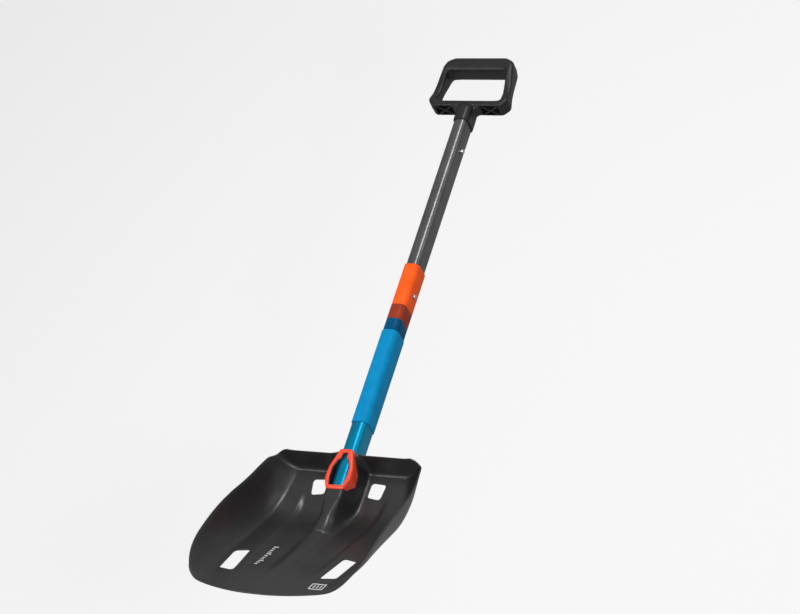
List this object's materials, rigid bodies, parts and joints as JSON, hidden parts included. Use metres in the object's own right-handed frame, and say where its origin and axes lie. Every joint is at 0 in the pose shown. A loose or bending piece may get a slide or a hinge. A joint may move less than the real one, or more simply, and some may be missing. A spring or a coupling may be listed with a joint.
{
  "type": "snow shovel",
  "caption": "Two-piece snow shovel with a deep ribbed metal scoop, lashing slots, a telescoping push-button shaft, a soft grip and a D-handle.",
  "frame": {"origin": "under the middle of the extended shovel, on the plane of its lowest face, the thumb boss behind the socket", "axes": "+Y along the shaft from the scoop to the handle, +Z out of the scoop's hollow, +X the shovel's right side; the shaft is level, as it lies on its back"},
  "size_m": [0.26, 1.006, 0.1636],
  "materials": {
    "blade": "black anodised, satin",
    "socket": "moulded black",
    "bezel": "moulded coral",
    "screw": "blackened steel",
    "lower_tube": "turquoise anodised",
    "orange_film": "matte film",
    "red_film": "satin film",
    "blue_film": "satin film",
    "grip": "soft-touch, embossed",
    "spring": "spring steel",
    "button": "polished steel",
    "upper_tube": "dark grey anodised",
    "handle": "moulded black"
  },
  "bodies": {
    "scoop": {"blade": "blade", "shaft_socket": "socket", "window_bezel": "bezel", "bezel_screw_left": "screw", "bezel_screw_right": "screw"},
    "lower_shaft": {"lower_tube": "lower_tube", "collar_sleeve": "orange_film", "red_band": "red_film", "blue_band": "blue_film", "grip_sleeve": "grip", "blade_lock_spring": "spring"},
    "lock_button": {"blade_lock_button": "button"},
    "upper_shaft": {"upper_tube": "upper_tube", "tube_end_plug": "handle", "extension_spring": "spring", "stowage_spring": "spring", "handle": "handle", "handle_pin": "screw"},
    "extension_stud": {"extension_button": "button"},
    "stowage_stud": {"stowage_button": "button"}
  },
  "joints": [
    {"name": "blade_pull_off", "type": "slide", "parent": "scoop", "child": "lower_shaft", "axis": [0, 1, 0], "range_m": [0, 0.09], "deforming": ["blade_lock_spring", "blade_lock_button"]},
    {"name": "blade_lock_press", "type": "slide", "parent": "lower_shaft", "child": "lock_button", "axis": [0, 0, 1], "range_m": [0, 0.0057]},
    {"name": "shaft_telescope", "type": "slide", "parent": "lower_shaft", "child": "upper_shaft", "axis": [0, -1, 0], "range_m": [0, 0.268], "deforming": ["extension_spring", "extension_button", "stowage_button"]},
    {"name": "extension_press", "type": "slide", "parent": "upper_shaft", "child": "extension_stud", "axis": [-1, 0, 0], "range_m": [0, 0.0057]},
    {"name": "stowage_press", "type": "slide", "parent": "upper_shaft", "child": "stowage_stud", "axis": [-1, 0, 0], "range_m": [0, 0.0057], "stiffness_N_per_m": 900, "deforming": ["stowage_spring"]}
  ],
  "couplings": [
    {"joint": "blade_lock_press", "follows": "blade_pull_off", "ratio": 0.06333},
    {"joint": "extension_press", "follows": "shaft_telescope", "ratio": 0.021268}
  ]
}
